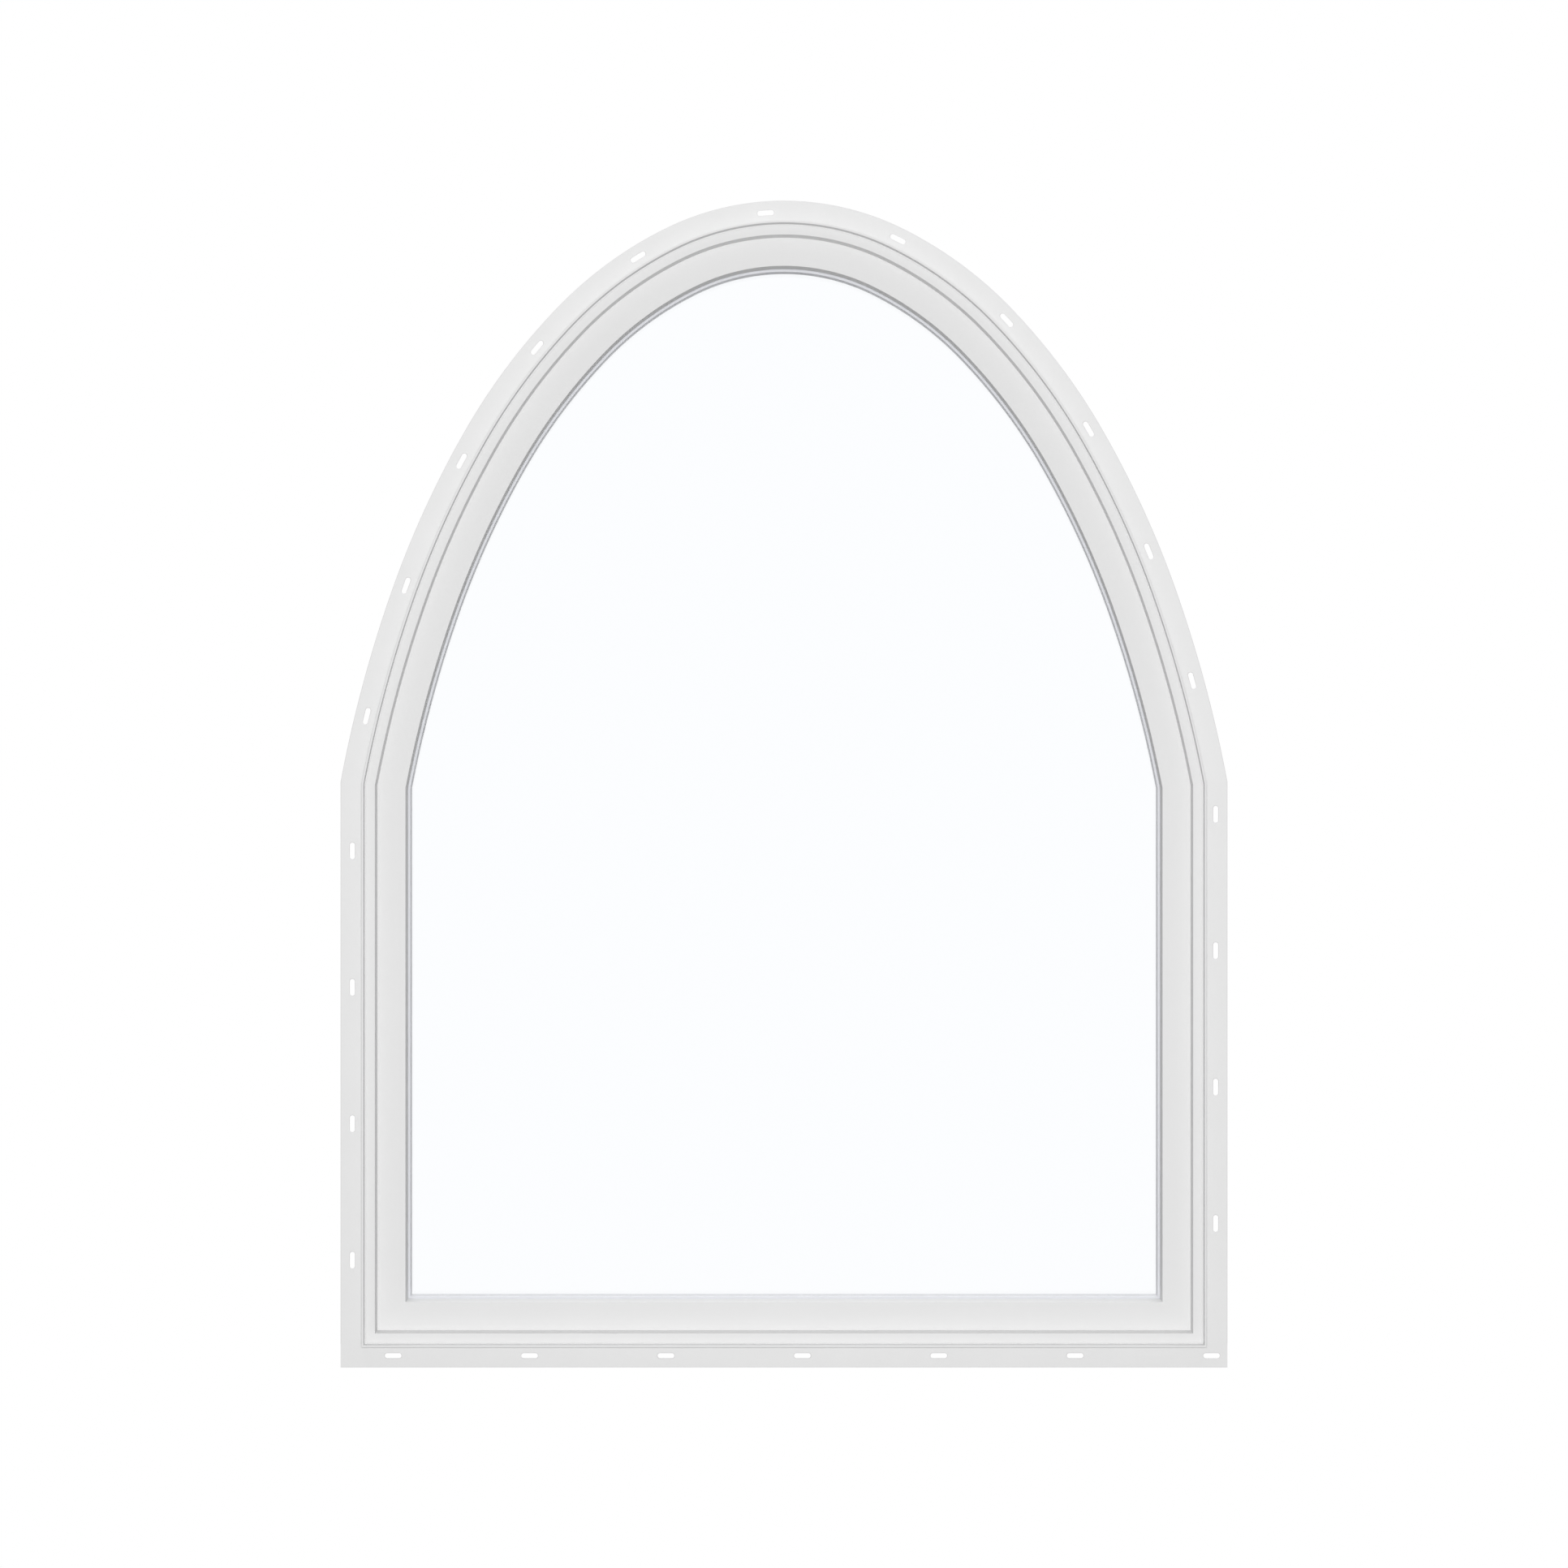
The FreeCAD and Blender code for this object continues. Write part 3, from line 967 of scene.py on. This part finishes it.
    def strip(self, member: Member) -> Shell:
        """Strip of one member with its slots cut through.

        The strip is its section carried along the member. At each slot the grid is left open on a cell,
        on the front and on the back, and a tunnel of rings joins the two borders.

        Args:
            member: side of the window.

        Returns:
            The closed strip.
        """
        stations, rows = self.cell()
        profile = self.profile(rows)
        slots = self.slots_on(member)
        cells = slots[:, None] + stations
        along = self.station_line(member, cells)
        course = self.course(member, along[:, None], profile.points[None, :, 0])
        shell = Shell.carried(course, profile)
        borders = self.open_cells(shell, len(along), np.searchsorted(along, cells[:, 0]))
        shell.bridge(borders, *self.tunnels(member, slots))
        return shell

    def open_cells(self, shell: Shell, count: int, starts: Index) -> list[Index]:
        """Takes the cells' faces out of a strip's front and back.

        Args:
            shell: strip without slots, which loses the faces.
            count: number of its stations.
            starts: number of the first station of each cell.

        Returns:
            Point numbers round each cell on the front and on the back.
        """
        index = np.arange(len(shell.points)).reshape(count, -1)
        stations, rows = self.border()
        top, front = self.row_facets, self.corner_points
        rear = 3 * self.corner_points + top + 1
        climb = np.arange(top)
        inside = starts[:, None, None] + np.arange(stations.max())[:, None]
        keep = np.ones((count - 1, index.shape[1]), bool)
        keep[inside, np.concatenate([front + climb, rear + climb])] = False
        kept = keep.ravel()
        shell.quads, shell.normals, shell.uv = shell.quads[kept], shell.normals[kept], shell.uv[kept]
        places = starts[:, None] + stations
        return [index[places, front + rows], index[places, rear + top - rows]]

    def tunnels(self, member: Member, slots: Array) -> tuple[Array, Array]:
        """Rings of points through the slots.

        A ring point lies at the slot's radius plus the lip's offset from the slot's spine, towards its
        border point, with half the lip inside the slot's edge. Over a lip the offset is the lip radius
        less its sine share, and the normal swings from the front into the slot and on to the back.

        Args:
            member: side of the window.
            slots: distances of the slots along the middle line.

        Returns:
            Points and normals by slot, ring from front to back, and border point.
        """
        loop = np.stack([line[number] for line, number in zip(self.cell(), self.border())])
        spine = np.stack([np.clip(loop[0], -self.spine, self.spine), 0 * loop[1]])
        away = (loop - spine) / np.linalg.norm(loop - spine, axis=0)
        lip = np.linspace(0, math.pi / 2, self.lip_facets + 1)
        drop = self.lip_radius * (1 - np.cos(lip))
        depth = np.concatenate([self.band.front + drop, (self.band.back - drop)[::-1]])[:, None]
        swing = np.concatenate([lip, math.pi - lip[::-1]])[:, None]
        reach = (self.slot_width - self.lip_radius) / 2 + self.lip_radius * (1 - np.sin(swing))
        along = slots[:, None, None] + spine[0] + reach * away[0]
        course = self.course(member, along, self.middle + reach * away[1])
        inward = course.inward()
        outwards = away[0][:, None] * np.cross(inward, INTO_ROOM) + away[1][:, None] * inward
        swing = swing[..., None]
        return course.points(depth), -np.cos(swing) * INTO_ROOM - np.sin(swing) * outwards

    def build(self) -> list[bpy.types.Object]:
        """Makes and dresses the four strips."""
        return [
            add_piece(f"{node}_skin", self.strip(member), FIN_VINYL, node)
            for member, node in zip(Member, self.nodes)
        ]


@dataclass(frozen=True)
class GlassUnit:
    """Sealed unit: two panes held apart by a spacer bar that shows just inside the sash."""

    outline: Outline
    panes: Names = ("outer_pane", "inner_pane")
    spacer: Band = Band.of("spacer_bar")
    spacer_height: float = 10.0 * MM
    spacer_slope: float = 0.6 * MM
    spacer_soft: float = 0.3 * MM
    arris: float = 0.4 * MM

    def spacer_profile(self) -> Profile:
        """Bar whose front falls away outwards from the inner edge."""
        bar = self.spacer
        inner = bar.outer + self.spacer_height
        corners = [
            (bar.outer, bar.front + self.spacer_slope, self.spacer_soft),
            (inner, bar.front, self.spacer_soft),
            (inner, bar.back, self.spacer_soft),
            (bar.outer, bar.back, self.spacer_soft),
        ]
        return Profile.rounded(corners)

    def build(self) -> list[bpy.types.Object]:
        """Makes and dresses the spacer bar and the two panes."""
        bar = Shell.ring(self.outline, self.spacer_profile())
        pieces = []
        for node in self.panes:
            sheet = Shell.sheet(self.outline, Band.of(node), self.arris)
            pieces.append(add_piece(f"{node}_sheet", sheet, CLEAR_GLASS, node))
        return [*pieces, add_piece("spacer_bar_skin", bar, SPACER_FOAM, "spacer_bar")]


@dataclass(frozen=True)
class SettingBlocks:
    """Rubber blocks under the glass unit, hidden in the pocket of the bottom rail."""

    nodes: Names = ("setting_block_left", "setting_block_right")

    def build(self) -> list[bpy.types.Object]:
        """Dresses the two blocks, whose shape is already right."""
        blocks = [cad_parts[node] for node in self.nodes]
        for block in blocks:
            block.data.materials.clear()
            block.data.materials.append(BLOCK_RUBBER.material())
        return blocks


@dataclass(frozen=True)
class Lamp:
    """Soft rectangular lamp aimed at the middle of the window."""

    name: str
    place: Triple
    width: float
    height: float
    watts: float

    def build(self, target: Vector) -> None:
        """Adds the lamp."""
        light = bpy.data.lights.new(self.name, "AREA")
        light.shape = "RECTANGLE"
        light.size = self.width
        light.size_y = self.height
        light.energy = self.watts
        lamp = bpy.data.objects.new(self.name, light)
        lamp.location = self.place
        lamp.rotation_euler = (target - lamp.location).to_track_quat("-Z", "Y").to_euler()
        lamp.visible_glossy = False
        lamp.visible_camera = False
        bpy.context.scene.collection.objects.link(lamp)


@dataclass(frozen=True)
class Floor:
    """Round pale floor below the window; hub and fade are shares of its radius."""

    level: float = -0.8
    radius: float = 1.03
    colour: Triple = grey(0.9)
    hub: float = 0.02
    rings: int = 13
    spokes: int = 64
    fade_from: float = 0.5
    fade_to: float = 0.98

    def mesh(self) -> bpy.types.Mesh:
        """Points (radius cos angle, radius sin angle) on a grid of rings and spokes about the hub."""
        radii = self.radius * np.linspace(self.hub, 1, self.rings)[:, None]
        angles = np.linspace(0, 2 * math.pi, self.spokes, endpoint=False)
        plan = radii * np.cos(angles), radii * np.sin(angles), self.level
        points = np.stack(np.broadcast_arrays(*plan), axis=-1)
        index = numbered(points)
        onward = np.roll(index, -1, axis=1)
        quads = np.stack([index[:-1], index[1:], onward[1:], onward[:-1]], axis=-1).reshape(-1, 4)
        mesh = bpy.data.meshes.new("floor")
        mesh.from_pydata(points.reshape(-1, 3).tolist(), [], [*quads.tolist(), index[0].tolist()])
        return mesh

    def material(self) -> bpy.types.Material:
        """Matt and pale, clear towards the rim."""
        material = bpy.data.materials.new("pale_floor")
        board = Board(material)
        place = board.place("Object")
        sockets = {
            "Value": board.node("ShaderNodeVectorMath", {"operation": "LENGTH"}, {0: place}, "Value"),
            "From Min": self.fade_from * self.radius,
            "From Max": self.fade_to * self.radius,
        }
        fade = board.node("ShaderNodeMapRange", {"interpolation_type": "SMOOTHSTEP"}, sockets)
        pale = board.node("ShaderNodeBsdfDiffuse", None, {"Color": (*self.colour, 1.0)})
        clear = board.node("ShaderNodeBsdfTransparent")
        board.finish(board.node("ShaderNodeMixShader", None, {0: fade, 1: pale, 2: clear}))
        return material

    def build(self) -> None:
        """Adds the floor."""
        floor = bpy.data.objects.new("floor", self.mesh())
        floor.data.materials.append(self.material())
        bpy.context.scene.collection.objects.link(floor)


@dataclass(frozen=True)
class Studio:
    """Camera in front of the window, soft lamps, white surroundings and a floor."""

    image_px: int = 1932
    focal_px: float = 4586.0
    sensor: float = 36.0
    camera_y: float = -4.0524
    middle_z: float = 622.3 * MM
    ambient: float = 0.27
    floor: Floor = Floor()
    lamps: tuple[Lamp, ...] = (
        Lamp("front_lamp", (0.0, -4.3, 0.7), width=0.4, height=0.3, watts=132.0),
        Lamp("top_lamp", (0.0, -1.0, 9.0), width=6.0, height=2.0, watts=180.0),
        Lamp("room_lamp", (0.0, 4.5, 5.5), width=4.0, height=2.0, watts=310.0),
    )

    def add_camera(self) -> None:
        """Level camera straight before the window."""
        lens = bpy.data.cameras.new("camera")
        lens.sensor_width = self.sensor
        lens.lens = self.sensor * self.focal_px / self.image_px
        camera = bpy.data.objects.new("camera", lens)
        camera.location = (0.0, self.camera_y, self.middle_z)
        camera.rotation_euler = (math.pi / 2, 0.0, 0.0)
        bpy.context.scene.collection.objects.link(camera)
        bpy.context.scene.camera = camera

    def add_world(self) -> None:
        """White where the camera, a gloss or the glass looks out, and even grey light elsewhere."""
        world = bpy.data.worlds.new("studio")
        bpy.context.scene.world = world
        board = Board(world)
        seen = sum(
            board.node("ShaderNodeLightPath", output=ray)
            for ray in ("Is Camera Ray", "Is Glossy Ray", "Is Transmission Ray")
        )
        light = board.node("ShaderNodeBackground", None, {"Color": WHITE, "Strength": self.ambient})
        white = board.node("ShaderNodeBackground", None, {"Color": WHITE})
        mixed = board.node("ShaderNodeMixShader", None, {0: seen, 1: light, 2: white})
        board.finish(mixed, "ShaderNodeOutputWorld")

    def build(self) -> None:
        """Adds everything round the window."""
        bpy.context.scene.view_settings.view_transform = "Standard"
        self.add_camera()
        self.add_world()
        self.floor.build()
        for lamp in self.lamps:
            lamp.build(Vector((0.0, 0.0, self.middle_z)))


def main() -> None:
    """Builds the window's sub-assemblies in order, then the studio."""
    logging.basicConfig(level=logging.INFO, format="%(message)s")
    outline = Outline()
    sets = (
        MainFrame(outline),
        NailFin(outline),
        Sash(outline),
        GlazingTape(outline),
        GlassUnit(outline),
        SettingBlocks(),
        Beads(outline),
    )
    for part in sets:
        for piece in part.build():
            LOG.info("%s: %s, %d faces", type(part).__name__, piece.name, len(piece.data.polygons))
    Studio().build()


if __name__ == "__main__":
    main()
